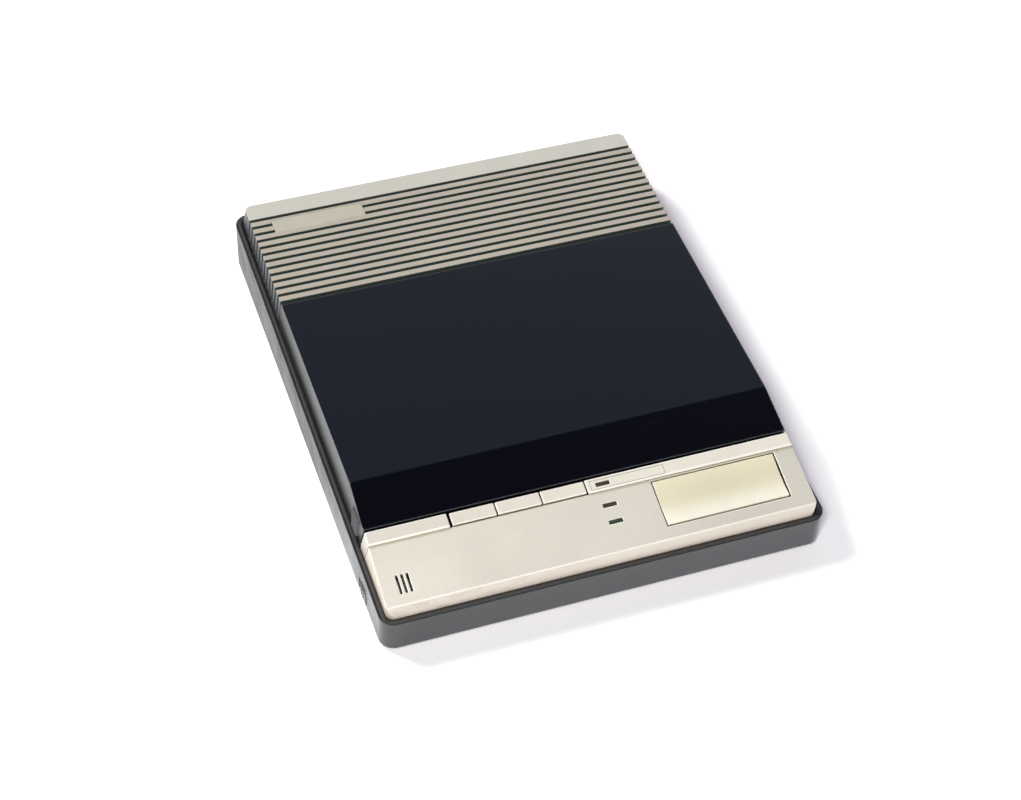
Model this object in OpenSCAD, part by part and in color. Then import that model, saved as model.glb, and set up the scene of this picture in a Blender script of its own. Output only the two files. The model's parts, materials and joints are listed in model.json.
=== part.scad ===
// Slim answering machine with two microcassette decks under a hinged lid.
// Origin: centre of the footprint on the table. +X right, +Y rear, +Z up.

/* [Case] */
// Width over the base tray
body_w = 168.2; // [160:0.1:210]
// Depth over the base tray
body_d = 208.8; // [206:0.1:260]
// Height from the table to the flat top
body_h = 31.6; // [31:0.1:40]
// Height of the rubber feet
foot_h = 2; // [1.5:0.1:3]
// Height of the tray rim at the front
rim_front_h = 15.55; // [14:0.05:16]
// Height of the tray rim at the rear
rim_rear_h = 22.4; // [21.5:0.05:24]
// Thickness of the tray wall
tray_wall = 2.3; // [1.8:0.1:2.6]
// Thickness of the tray floor
tray_floor = 2; // [1.5:0.1:2.5]
// Radius of the tray's upright corners
tray_corner_r = 5.5; // [4:0.1:8]
// Gap between the tray wall and the upper housing
shell_gap = 0.3; // [0.2:0.05:0.5]
// Thickness of the upper mouldings
shell_wall = 2; // [1.6:0.1:2.2]
// Lean of the upper side walls, degrees
side_draft = 5.5; // [3:0.1:7]
// Radius of the upper housing's rear corners
rear_corner_r = 2.6; // [2:0.1:4]

/* [Slope] */
// Slope of the front controls, degrees
slope_deg = 13.69; // [10:0.01:14]
// Depth of the sloped part in plan
slope_run = 49; // [48:0.1:52]
// Depth of the bevel along the front edge
bevel_run = 1.6; // [1:0.1:2.5]
// Length of the front panel along the slope
panel_len = 24.4; // [24.2:0.1:25]
// Length of the key strip along the slope
strip_len = 5.4; // [5:0.1:7]
// Height of the key strip above the panel
strip_rise = 0.7; // [0.4:0.1:1]
// Gap between the lid and the key strip
lid_gap = 1.3; // [0.6:0.1:1.5]

/* [Louvres] */
// Number of grooves across the rear
groove_count = 12; // [8:1:12]
// Distance from groove to groove
groove_pitch = 3.923; // [3.5:0.001:4]
// Width of a groove
groove_w = 1.6; // [1.2:0.1:2]
// Depth of a groove
groove_depth = 1.8; // [1:0.1:2]
// Plain band behind the last groove, to its centre
rear_band = 9; // [7:0.1:12]

/* [Controls] */
// Width of one key
key_w = 16.5; // [14:0.1:17]
// Gap between keys
key_gap = 0.5; // [0.4:0.1:1]
// Gap between the left block and the first key
first_key_gap = 1.1; // [0.5:0.1:1.5]
// Right side of the last key
key_end_x = 0.7; // [-2:0.1:3]
// Travel of a key
key_travel = 1.2; // [0.8:0.1:1.3]
// Width of the play bar
bar_w = 47.25; // [40:0.1:50]
// Length of the play bar along the slope
bar_len = 17.6; // [15:0.1:18]
// Travel of the play bar
bar_travel = 1.5; // [1:0.1:1.6]
// Gap round the play bar
bar_gap = 0.6; // [0.4:0.1:0.8]
// Radius of the volume dial
dial_r = 10; // [9:0.1:11]
// How far the volume dial stands out of the wall
dial_out = 0.7; // [0.4:0.1:1]
// Travel of the power switch
switch_travel = 3; // [2:0.1:4]

/* [Deck] */
// Distance of each cassette from the middle
cassette_x = 34; // [33:0.1:38]
// Width of a cassette
cassette_w = 50; // [49:0.1:51]
// Depth of a cassette
cassette_d = 33; // [32:0.1:34]
// Thickness of a cassette
cassette_t = 8.2; // [7.5:0.1:8.5]
// Distance between the two hubs of a cassette
hub_spacing = 21; // [20:0.1:22]
// Radius of a flywheel
flywheel_r = 14; // [12:0.1:15]
// Radius of the motor pulley
pulley_r = 3; // [2.5:0.1:4]
// Radius of a capstan shaft
capstan_r = 1; // [0.9:0.05:1.1]
// Radius of a reel table
reel_r = 8; // [7:0.1:8.4]
// Radius of the capstan pinion
pinion_r = 2; // [1.8:0.1:2.2]
// Radial clearance of a running fit
run_fit = 0.05; // [0.02:0.01:0.08]
// Slide of a head carriage
head_travel = 3; // [2:0.1:3]

/* [Lid] */
// Radius of the hinge pins
hinge_pin_r = 0.9; // [0.8:0.05:1]

/* [Hidden] */
$fn = 64;
eps = 0.01;
big = 400;

// places along Y
front_y = -body_d / 2;
rear_y = body_d / 2;
shell_in = tray_wall + shell_gap;
shell_front_y = front_y + shell_in;
panel_front_y = shell_front_y + bevel_run;
bend_y = panel_front_y + slope_run;
rear_top_y = rear_y - shell_in - 2.6;
last_groove_y = rear_top_y - rear_band;
louvre_face_y = last_groove_y - (groove_count - 1) * groove_pitch - groove_w / 2 - 2.35;
lid_rear_y = louvre_face_y - 0.85;
deck_y = lid_rear_y - 41;

// places along the slope, measured from the bend towards the front
slope_len = slope_run / cos(slope_deg);
strip_front_s = slope_len - panel_len;
strip_rear_s = strip_front_s - strip_len;
lid_front_s = strip_rear_s - lid_gap;

// widths
top_half_w = body_w / 2 - 3.8;
shell_half_w = body_w / 2 - shell_in;

// heights
rim_deg = atan2(rim_rear_h - rim_front_h, body_d);
skirt_drop = 3.5;
ring_h = 2.2;
panel_edge_h = body_h - slope_run * tan(slope_deg);
lid_t = 2;
bay_half = top_half_w - 4.6;
bay_top = body_h - 9.6;
well_floor = body_h - 12;
bay_low = well_floor - 1.2;
chassis_top = body_h - 15.6;
chassis_t = 1;
flywheel_top = chassis_top - chassis_t - 1;
flywheel_t = 3;
reel_low = chassis_top + 0.5;
reel_t = 1.5;
cassette_low = well_floor + 0.2;
floor_top = foot_h + tray_floor;
board_low = floor_top + 2;
board_t = 1.6;
board_top = board_low + board_t;

// deck places, measured from the middle of a cassette
capstan_dx = -8;
capstan_dy = -14.5;
hub_dy = 2;
takeup_dx = -hub_spacing / 2;
idler_clear = 0.15;
pinion_to_reel = norm([capstan_dx - takeup_dx, capstan_dy - hub_dy]);
idler_r = (pinion_to_reel - pinion_r - reel_r - 2 * idler_clear) / 2;
idler_share = (pinion_r + idler_clear + idler_r) / pinion_to_reel;
idler_dx = capstan_dx + (takeup_dx - capstan_dx) * idler_share;
idler_dy = capstan_dy + (hub_dy - capstan_dy) * idler_share;
pinch_r = 3.2;
pinch_dy = capstan_dy - capstan_r - pinch_r - head_travel - 0.1;
motor_x = capstan_dx;
motor_y = deck_y - 36;
motor_r = 12.5;
motor_h = 5.6;

// hinge of the lid
hinge_y = lid_rear_y - 3.5;
hinge_z = body_h - 3;
hinge_x = body_w / 2 - 17;
lug_t = 3;
lug_gap = 0.3;

// screws and feet
rear_screw = [body_w / 2 - 10.5, rear_y - 11];
side_screw = [body_w / 2 - 11.6, bend_y - 6];
panel_screw = [52, shell_front_y + 4.6];
screw_r = 1.4;
foot_r = 6;
foot_x = body_w / 2 - 16;
foot_y = body_d / 2 - 18;

// ---- shared shapes -------------------------------------------------------

// rectangle with round corners, centred
module rounded_rect(w, d, r) {
    square([w - 2 * r, d], center = true);
    square([w, d - 2 * r], center = true);
    for (x = [-1, 1], y = [-1, 1])
        translate([x * (w / 2 - r), y * (d / 2 - r)])
            circle(r);
}

// box from its two corners
module box(low, high) {
    translate(low)
        cube(high - low);
}

// ring or tube standing on z0
module tube(r_out, r_in, z0, z1) {
    translate([0, 0, z0])
        difference() {
            cylinder(r = r_out, h = z1 - z0);
            translate([0, 0, -1])
                cylinder(r = r_in, h = z1 - z0 + 2);
        }
}

// disc from z0 to z1
module disc(r, z0, z1) {
    translate([0, 0, z0])
        cylinder(r = r, h = z1 - z0);
}

// everything below the plane of the tray rim, shifted by dz
module under_rim(dz) {
    translate([0, front_y, rim_front_h + dz])
        rotate([rim_deg, 0, 0])
            translate([-big / 2, -big / 2, -60])
                cube([big, big * 1.5, 60]);
}

// everything above the plane of the tray rim, shifted by dz
module over_rim(dz) {
    translate([0, front_y, rim_front_h + dz])
        rotate([rim_deg, 0, 0])
            translate([-big / 2, -big / 2, 0])
                cube([big, big * 1.5, 60]);
}

// slope coordinates: x across, y along the slope with the bend at 0, z outward
module on_slope() {
    translate([0, bend_y, body_h])
        rotate([slope_deg, 0, 0])
            children();
}

// cross-section of the upper mouldings, sunk by inset
module side_profile(inset) {
    lean = tan(side_draft);
    shift = inset / cos(side_draft);
    low_half = top_half_w + body_h * lean - shift;
    top_half = top_half_w + inset * lean - shift;
    polygon([[-low_half, 0], [low_half, 0], [top_half, body_h - inset], [-top_half, body_h - inset]]);
}

// profile from front to rear of the upper mouldings, sunk by inset
module long_profile(inset) {
    rise = tan(slope_deg);
    front_k = bevel_run / (panel_edge_h - rim_front_h);
    front_shift = inset * sqrt(1 + front_k * front_k);
    front_low = shell_front_y - front_k * rim_front_h + front_shift;
    edge_z = (body_h - inset / cos(slope_deg) + (front_low - bend_y) * rise) / (1 - front_k * rise);
    bend = bend_y + inset * tan(slope_deg / 2);
    rear_k = 2.6 / (body_h - rim_rear_h);
    rear_shift = inset * sqrt(1 + rear_k * rear_k);
    rear_low = rear_top_y + rear_k * body_h - rear_shift;
    polygon([[front_low, 0], [front_low + front_k * edge_z, edge_z], [bend, body_h - inset],
        [rear_low - rear_k * (body_h - inset), body_h - inset], [rear_low, 0]]);
}

// solid outline of the upper mouldings, sunk by inset
module envelope(inset) {
    intersection() {
        translate([0, big / 2, 0])
            rotate([90, 0, 0])
                linear_extrude(big)
                    side_profile(inset);
        translate([-big / 2, 0, 0])
            rotate([90, 0, 90])
                linear_extrude(big)
                    long_profile(inset);
        linear_extrude(body_h + 5)
            rounded_rect(2 * (shell_half_w - inset), body_d - 2 * (shell_in + inset), 3.6 - inset * 0.6);
    }
}

// slice of space between two stations along the slope
module slope_slice(rear_s, front_s, top) {
    on_slope()
        box([-big / 2, -front_s, -40], [big / 2, -rear_s, top]);
}

// post with a pilot hole for a screw from below
module screw_post(r, z0, z1) {
    tube(r, screw_r + 0.1, z0, z1 - 2);
    disc(r, z1 - 2 - eps, z1);
}

// ---- case ----------------------------------------------------------------

module base_tray() {
    color([0.38, 0.38, 0.40])
    difference() {
        union() {
            translate([0, 0, foot_h])
                linear_extrude(floor_top - foot_h)
                    tray_inside();
            tray_posts();
        }
        for (p = screw_places())
            translate([p[0], p[1], 0])
                union() {
                    disc(screw_r + 0.1, 0, body_h);
                    disc(2.7, 0, foot_h + 1.6);
                }
        foot_seats();
    }
}

module tray_inside() {
    rounded_rect(body_w - 4 * tray_wall, body_d - 4 * tray_wall, 2);
}

// walls of the tray, moulded on its floor
module tray_walls() {
    color([0.38, 0.38, 0.40])
    difference() {
        intersection() {
            translate([0, 0, foot_h])
                linear_extrude(body_h)
                    rounded_rect(body_w, body_d, tray_corner_r);
            under_rim(0);
        }
        difference() {
            linear_extrude(body_h)
                rounded_rect(body_w - 2 * tray_wall, body_d - 2 * tray_wall, tray_corner_r - tray_wall);
            under_rim(-skirt_drop);
        }
        linear_extrude(body_h)
            tray_inside();
        // round pocket that opens the wall for the volume dial
        translate([dial_x(), dial_y(), 0])
            disc(dial_r + 0.4, floor_top, floor_top + 5);
        rear_cutouts();
    }
}

function dial_y() = panel_front_y + 19.7;
function dial_x() = -body_w / 2 - dial_out + dial_r;
function screw_places() = concat(
    [for (x = [-1, 1]) [x * rear_screw[0], rear_screw[1]]],
    [for (x = [-1, 1]) [x * side_screw[0], side_screw[1]]],
    [for (x = [-1, 1]) [x * panel_screw[0], panel_screw[1]]]);

// sockets in the rear wall
line_jack_x = -62;
phone_jack_x = -44;
power_jack_x = 58;
switch_x = 34;
socket_w = 11.4;
socket_h = 7.4;
socket_low = board_top + 1.2;
power_hole_r = 3.2;
power_hole_z = board_top + 5.2;

module rear_cutouts() {
    wall_y = rear_y - 2 * tray_wall - 1;
    for (x = [line_jack_x, phone_jack_x])
        box([x - socket_w / 2, wall_y, socket_low], [x + socket_w / 2, rear_y + 1, socket_low + socket_h]);
    translate([power_jack_x, rear_y + 1, power_hole_z])
        rotate([90, 0, 0])
            cylinder(r = power_hole_r, h = 2 * tray_wall + 2);
    box([switch_x - 4.2, wall_y, board_top + 3.2], [switch_x + 4.2, rear_y + 1, board_top + 7.2]);
}

// shallow seats that centre the feet
module foot_seats() {
    for (x = [-1, 1], y = [-1, 1])
        translate([x * foot_x, y * foot_y, 0])
            disc(foot_r + 0.1, 0, foot_h + 0.5);
}

module tray_posts() {
    low = foot_h + 0.5;
    for (x = [-1, 1]) {
        translate([x * rear_screw[0], rear_screw[1], 0])
            disc(3.4, low, 9.5);
        translate([x * side_screw[0], side_screw[1], 0])
            disc(3.4, low, 9.5);
        translate([x * panel_screw[0], panel_screw[1], 0])
            disc(2.2, low + 1, 8);
        // seats of the main board
        translate([x * (body_w / 2 - 24), rear_y - 9.5, 0])
            disc(3, low, board_low);
        translate([x * (body_w / 2 - 24), louvre_face_y + 7, 0])
            disc(3, low, board_low);
        // thrust seats under the capstan shafts
        translate([x * cassette_x + capstan_dx, deck_y + capstan_dy, 0])
            disc(3, low, flywheel_top - flywheel_t - 0.8);
    }
    // pad under the motor
    translate([motor_x, motor_y, 0])
        disc(motor_r - 2, low, motor_low());
    // posts of the volume control
    for (dy = [-7, 7])
        translate([dial_x() + dial_r + 2.4, dial_y() + dy, 0])
            disc(1.6, low, floor_top + 5);
}

function motor_low() = flywheel_top - flywheel_t - 0.4 - motor_h;

module feet() {
    color([0.12, 0.12, 0.12])
    for (x = [-1, 1], y = [-1, 1])
        translate([x * foot_x, y * foot_y, 0])
            disc(foot_r, 0, foot_h + 0.5);
}

// pan-head screw with its head at z0
module case_screw(z0, z1, r) {
    disc(r * 1.8, z0, z0 + 1.3);
    disc(r, z0 + 1.3 - eps, z1);
}

module screws() {
    head_low = foot_h + 0.3;
    color([0.72, 0.72, 0.74])
    for (p = screw_places())
        translate([p[0], p[1], 0])
            case_screw(head_low, 13, screw_r);
}

module upper_housing() {
    rail_out = shell_wall + 0.6;
    color([0.78, 0.76, 0.70])
    difference() {
        union() {
            // louvred rear part
            difference() {
                intersection() {
                    envelope(0);
                    box([-big / 2, louvre_face_y, 0], [big / 2, big / 2, body_h + 1]);
                    over_rim(-skirt_drop);
                }
                intersection() {
                    envelope(3.2);
                    box([-big / 2, louvre_face_y + 2, 0], [big / 2, big / 2, body_h + 1]);
                }
                grooves();
                rear_corner_cuts();
            }
            // side rails under the lid
            intersection() {
                envelope(rail_out);
                for (x = [-1, 1])
                    translate([x * (bay_half + 10), 0, 0])
                        cube([20, 2 * louvre_face_y, 2 * (body_h - lid_t - 0.4)], center = true);
                slope_slice(-big / 2, strip_rear_s - 0.2, 5);
                over_rim(-skirt_drop);
            }
            // base ring under the skirts
            difference() {
                intersection() {
                    envelope(0);
                    over_rim(-skirt_drop);
                    under_rim(-skirt_drop + ring_h);
                }
                envelope(rail_out + shell_wall);
            }
            bay_ledges();
            housing_posts();
        }
        hinge_relief();
        speaker_slots();
        badge_block(0.1);
        for (x = [-1, 1])
            translate([x * panel_screw[0], panel_screw[1], 0])
                disc(2.5, 0, body_h);
    }
}

// waste outside the round rear corners, along the line where side and rear walls meet
module rear_corner_cuts() {
    rear_k = 2.6 / (body_h - rim_rear_h);
    side_k = tan(side_draft);
    lean = asin(rear_k / sqrt(1 + rear_k * rear_k + side_k * side_k));
    skew = asin(sin(side_draft) * sin(atan(rear_k)));
    mid_x = -rear_corner_r - 0.01;
    mid_y = mid_x * (1 - sin(skew)) / cos(skew);
    for (side = [0, 1])
        mirror([side, 0, 0])
            translate([top_half_w, rear_top_y, body_h])
                rotate([lean, -side_draft, 0])
                    linear_extrude(60, center = true)
                        difference() {
                            polygon([[mid_x, mid_y], [6, mid_y], [6, 6],
                                [mid_x + (6 - mid_y) * tan(skew), 6]]);
                            translate([mid_x, mid_y])
                                circle(rear_corner_r);
                        }
}

// grooves across the top and down the sides
module grooves() {
    difference() {
        union() {
            for (i = [0:groove_count - 1])
                translate([-big / 2, last_groove_y - i * groove_pitch - groove_w / 2, 0])
                    cube([big, groove_w, body_h + 1]);
        }
        envelope(groove_depth);
        under_rim(0.2);
    }
}

// ledges that carry the tape bay
module bay_ledges() {
    for (x = [-1, 1])
        intersection() {
            envelope(shell_wall + 1);
            translate([x * bay_half, (bend_y - 16 + lid_rear_y) / 2, bay_top - 1.6 - 2])
                cube([5, lid_rear_y - bend_y + 14, 4], center = true);
        }
}

module housing_posts() {
    for (x = [-1, 1]) {
        translate([x * rear_screw[0], rear_screw[1], 0])
            screw_post(3.4, 9.5, body_h - 3.2 + eps);
        translate([x * side_screw[0], side_screw[1], 0])
            screw_post(3.4, 9.5, bay_top - 1.6);
    }
}

// room for the rear end of the lid as it swings
module hinge_relief() {
    translate([0, hinge_y, hinge_z])
        rotate([0, 90, 0])
            translate([0, 0, -top_half_w - 2])
                cylinder(r = 4.2, h = 2 * top_half_w + 4);
}

// slots through the grooves above the speaker
speaker_x = -38;
speaker_r = 21;
function speaker_y() = last_groove_y - 5.5 * groove_pitch;
module speaker_slots() {
    for (i = [1:groove_count - 2])
        translate([speaker_x, last_groove_y - i * groove_pitch, body_h - 3])
            cube([26, groove_w * 0.6, 5], center = true);
}

module front_panel() {
    color([0.89, 0.88, 0.83])
    difference() {
        union() {
            intersection() {
                difference() {
                    envelope(0);
                    envelope(shell_wall);
                }
                slope_slice(strip_front_s, big / 2, 5);
                over_rim(-skirt_drop + ring_h);
            }
            for (x = [-1, 1])
                translate([x * panel_screw[0], panel_screw[1], 0])
                    screw_post(2.2, 8, panel_edge_h - 0.6);
            board_posts();
            on_slope()
                translate([mic_x(), -mic_s, 0])
                    tube(mic_r + 1.2, mic_r + 0.1, -shell_wall - 2.8, -shell_wall + eps);
        }
        bar_window(bar_gap, -shell_wall - 1);
        for (s = [strip_front_s + 5.7, strip_front_s + 12.5])
            on_slope()
                translate([led_x, -s, 0])
                    cube([led_w + 0.2, led_d + 0.2, 12], center = true);
        for (i = [-1, 0, 1])
            on_slope()
                translate([mic_x() + i * 1.95, -mic_s, 0])
                    linear_extrude(12, center = true)
                        slot_shape(0.95, 7.5);
    }
}

// slot with round ends along y
module slot_shape(w, l) {
    square([w, l - w], center = true);
    for (y = [-1, 1])
        translate([0, y * (l - w) / 2])
            circle(w / 2);
}

// posts that carry the key board
key_board_n = -9.6;
module board_posts() {
    on_slope()
        for (p = [[-46, 14.2], [17, 14.2], [66, 21.2]])
            translate([p[0], -strip_front_s - p[1], key_board_n])
                cylinder(r = 1.4, h = -key_board_n - shell_wall + eps);
}

// ---- controls ------------------------------------------------------------

led_x = 7.4;
led_w = 5.1;
led_d = 1.5;
bar_x = top_half_w - 7.7 - bar_w / 2;
bar_s = strip_front_s + 1.2 + bar_len / 2;
mic_s = strip_front_s + 16.4;
mic_r = 3;
function mic_x() = -top_half_w + 7.6;

module bar_window(gap, low) {
    on_slope()
        translate([bar_x - bar_w / 2 - gap, -bar_s - bar_len / 2 - gap, low])
            cube([bar_w + 2 * gap, bar_len + 2 * gap, 10]);
}

web_top = -3.3;
web_t = 1.5;
keys_w = 3 * key_w + 3 * key_gap + first_key_gap;
keys_x0 = key_end_x + key_gap - keys_w;

module key_strip() {
    color([0.86, 0.85, 0.80])
    difference() {
        union() {
            // cheeks and blocks
            intersection() {
                difference() {
                    union() {
                        envelope(0);
                        raised_top();
                    }
                    envelope(shell_wall);
                }
                slope_slice(strip_rear_s, strip_front_s, strip_rise);
                over_rim(-skirt_drop + ring_h);
            }
            // web under the keys
            intersection() {
                envelope(shell_wall - eps);
                on_slope()
                    box([-big / 2, -strip_front_s, web_top - web_t], [big / 2, -strip_rear_s, web_top]);
            }
            on_slope()
                for (x = [keys_x0 - 2, keys_x0 + keys_w])
                    box([x, -strip_front_s, web_top - eps], [x + 2, -strip_rear_s, -shell_wall + eps]);
        }
        on_slope()
            box([keys_x0, -strip_front_s - 1, web_top], [keys_x0 + keys_w, -strip_rear_s + 1, 5]);
        for (i = [0:2])
            on_slope()
                translate([key_mid(i), -strip_mid_s, web_top - 1])
                    cube([key_stem[0] + 0.5, key_stem[1] + 0.5, 8], center = true);
        on_slope()
            translate([led_x, -strip_rear_s - strip_len / 2, 0])
                cube([led_w + 0.2, led_d + 0.2, 12], center = true);
    }
}

key_stem = [3.6, 2.2];
strip_mid_s = strip_rear_s + strip_len / 2;
function key_mid(i) = keys_x0 + first_key_gap + key_w / 2 + i * (key_w + key_gap);

// the strip stands proud of the slope
module raised_top() {
    intersection() {
        on_slope()
            box([-big / 2, -strip_front_s, -1], [big / 2, -strip_rear_s, strip_rise]);
        translate([0, big / 2, 0])
            rotate([90, 0, 0])
                linear_extrude(big)
                    side_profile(0);
    }
}

module key(i) {
    rear_side = 0.1;
    front_side = 0.35;
    on_slope()
        translate([key_mid(i), -strip_mid_s, 0]) {
            box([-key_w / 2, -strip_len / 2 + front_side, web_top + key_travel + 0.5],
                [key_w / 2, strip_len / 2 - rear_side, strip_rise]);
            box([-key_stem[0] / 2, -key_stem[1] / 2, key_board_n + 3.4 + key_travel],
                [key_stem[0] / 2, key_stem[1] / 2, web_top + key_travel + 0.5 + eps]);
        }
}

module memo_key() {
    color([0.86, 0.85, 0.80])
    key(0);
}

module rewind_key() {
    color([0.86, 0.85, 0.80])
    key(1);
}

module forward_key() {
    color([0.86, 0.85, 0.80])
    key(2);
}

bar_stem_x = 16;
module play_bar() {
    dish = 0.8;
    dish_r = (bar_len * bar_len / 4 + dish * dish) / (2 * dish);
    lip = 0.9;
    color([0.83, 0.80, 0.62])
    on_slope()
        translate([bar_x, -bar_s, 0]) {
            difference() {
                box([-bar_w / 2, -bar_len / 2, -2.9], [bar_w / 2, bar_len / 2, 0.2]);
                translate([-bar_w, 0, dish_r + 0.2 - dish])
                    rotate([0, 90, 0])
                        cylinder(r = dish_r, h = 2 * bar_w, $fn = 180);
            }
            box([-bar_w / 2 - bar_gap - lip, -bar_len / 2 + 0.5, -3.4],
                [bar_w / 2 + bar_gap + lip, bar_len / 2, -2.5]);
            for (x = [-bar_stem_x, bar_stem_x])
                translate([x, 0, key_board_n + 1.9 + bar_travel])
                    cylinder(r = 2, h = -3 - key_board_n - 1.9 - bar_travel);
        }
}

// return springs round the stems
module key_springs() {
    color([0.7, 0.7, 0.72])
    on_slope() {
        for (i = [0:2])
            translate([key_mid(i), -strip_mid_s, 0])
                tube(2.45, 2.2, web_top, web_top + key_travel + 0.5);
        for (x = [-bar_stem_x, bar_stem_x])
            translate([bar_x + x, -bar_s, 0])
                tube(3, 2.6, key_board_n, -3.4);
    }
}

module key_board() {
    color([0.16, 0.32, 0.20])
    on_slope()
        difference() {
            box([-52, -strip_front_s - 22.6, key_board_n - 1.2],
                [top_half_w - 5, -strip_rear_s, key_board_n]);
            for (x = [-1, 1])
                translate([x * panel_screw[0], -slope_len + 0.4, key_board_n - 2])
                    cylinder(r = 5, h = 5);
        }
    color([0.1, 0.1, 0.1])
    on_slope()
        for (p = switch_places())
            translate([p[0], -p[1], key_board_n - eps])
                translate([-2.5, -2.5, 0])
                    cube([5, 5, p[2]]);
}

function switch_places() = concat(
    [for (i = [0:2]) [key_mid(i), strip_mid_s, 3.3]],
    [[bar_x, bar_s, 3.3]]);

// rectangular lamp with its body down to the board
module led(s, top) {
    on_slope()
        translate([led_x, -s, 0]) {
            box([-led_w / 2, -led_d / 2, top - 6], [led_w / 2, led_d / 2, top]);
            for (x = [-1.27, 1.27])
                translate([x - 0.25, -0.25, key_board_n])
                    cube([0.5, 0.5, top - 6 - key_board_n + eps]);
        }
}

module message_led() {
    color([0.35, 0.08, 0.06])
    led(strip_mid_s, strip_rise + 0.05);
}

module use_led() {
    color([0.35, 0.08, 0.06])
    led(strip_front_s + 5.7, 0.05);
}

module power_led() {
    color([0.05, 0.22, 0.12])
    led(strip_front_s + 12.5, 0.05);
}

module microphone() {
    color([0.75, 0.75, 0.76])
    on_slope()
        translate([mic_x(), -mic_s, -shell_wall - 2.8])
            cylinder(r = mic_r, h = 2.7);
}

module volume_dial() {
    ridges = 36;
    low = floor_top + 0.4;
    color([0.1, 0.1, 0.1])
    translate([dial_x(), dial_y(), 0]) {
        difference() {
            disc(dial_r, low, low + 4.2);
            for (i = [0:ridges - 1])
                rotate([0, 0, i * 360 / ridges])
                    translate([dial_r + 0.15, 0, low - 1])
                        cylinder(r = 0.5, h = 7, $fn = 16);
        }
        disc(1.5, low, floor_top + 7.8);
    }
}

module volume_control() {
    low = floor_top + 5;
    color([0.55, 0.42, 0.25])
    translate([dial_x(), dial_y(), 0])
        difference() {
            union() {
                box([-4.6, -8.6, low], [dial_r + 4, 8.6, low + 1.2]);
                disc(4.6, low, low + 3.2);
            }
            disc(1.5 + run_fit, low - 1, low + 5);
        }
}

module switch_knob() {
    color([0.1, 0.1, 0.1])
    translate([switch_x - switch_travel / 2, 0, board_top]) {
        box([-2, rear_y - 6.4, 3.6], [2, rear_y - 0.4, 6.8]);
    }
}

module switch_body() {
    color([0.7, 0.7, 0.72])
    translate([switch_x, 0, board_top])
        difference() {
            box([-7, rear_y - 11, 0], [7, rear_y - 2 * tray_wall - 0.2, 8.4]);
            box([-4.2, rear_y - 6.6, 3.4], [4.2, rear_y, 7]);
        }
}

// modular socket with its mouth in the rear wall
module modular_jack(x) {
    color([0.1, 0.1, 0.1])
    translate([x, 0, 0])
        difference() {
            box([-socket_w / 2 - 1, rear_y - 18, board_top],
                [socket_w / 2 + 1, rear_y - 2 * tray_wall - 0.2, socket_low + socket_h + 1]);
            box([-socket_w / 2 + 0.6, rear_y - 14.5, socket_low + 0.5],
                [socket_w / 2 - 0.6, rear_y, socket_low + socket_h - 0.5]);
        }
}

module line_jack() {
    modular_jack(line_jack_x);
}

module phone_jack() {
    modular_jack(phone_jack_x);
}

module power_jack() {
    color([0.1, 0.1, 0.1])
    translate([power_jack_x, 0, 0])
        difference() {
            box([-4.5, rear_y - 18, board_top], [4.5, rear_y - 2 * tray_wall - 0.2, board_top + 10]);
            translate([0, rear_y, power_hole_z])
                rotate([90, 0, 0])
                    difference() {
                        cylinder(r = power_hole_r - 0.2, h = 14);
                        cylinder(r = 1, h = 20);
                    }
        }
}

// ---- speaker and main board ----------------------------------------------

speaker_top = body_h - 3.2;

module speaker_frame() {
    color([0.3, 0.3, 0.32])
    translate([speaker_x, speaker_y(), 0])
        rotate_extrude()
            polygon([[0, speaker_top - 11.5], [10, speaker_top - 11.5], [10, speaker_top - 7.4],
                [speaker_r - 2, speaker_top - 2], [speaker_r, speaker_top - 2], [speaker_r, speaker_top],
                [speaker_r - 3, speaker_top], [speaker_r - 3, speaker_top - 1.4],
                [10, speaker_top - 6], [0, speaker_top - 6]]);
}

module speaker_cone() {
    color([0.16, 0.15, 0.14])
    translate([speaker_x, speaker_y(), 0])
        rotate_extrude()
            polygon([[0, speaker_top - 6], [10, speaker_top - 6], [speaker_r - 3, speaker_top - 1.4],
                [speaker_r - 3, speaker_top - 1], [9.5, speaker_top - 5], [5, speaker_top - 4.6],
                [0, speaker_top - 4.2]]);
}

module main_board() {
    color([0.14, 0.36, 0.20])
    difference() {
        box([-body_w / 2 + 12, louvre_face_y + 4, board_low], [body_w / 2 - 12, rear_y - 7, board_top]);
        for (x = [-1, 1])
            translate([x * rear_screw[0], rear_screw[1], 0])
                disc(4.2, 0, body_h);
    }
}

module processor() {
    color([0.1, 0.1, 0.1])
    translate([18, louvre_face_y + 16, board_top])
        box([-26, -7, 0], [26, 7, 4]);
}

module line_transformer() {
    color([0.5, 0.48, 0.45])
    translate([20, louvre_face_y + 38, board_top])
        box([-10, -9, 0], [10, 9, 13]);
}

// relay and capacitors
module board_parts() {
    color([0.2, 0.3, 0.55])
    translate([44, louvre_face_y + 36, board_top])
        box([-5, -9.5, 0], [5, 9.5, 11]);
    color([0.15, 0.2, 0.35])
    for (p = [[60, 12, 4], [60, 24, 4], [-62, 12, 3], [-12, 42, 4]])
        translate([p[0], louvre_face_y + p[1], 0])
            disc(p[2], board_top, board_top + (p[2] == 4 ? 12 : 7));
}

// ---- tape deck -----------------------------------------------------------

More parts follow.
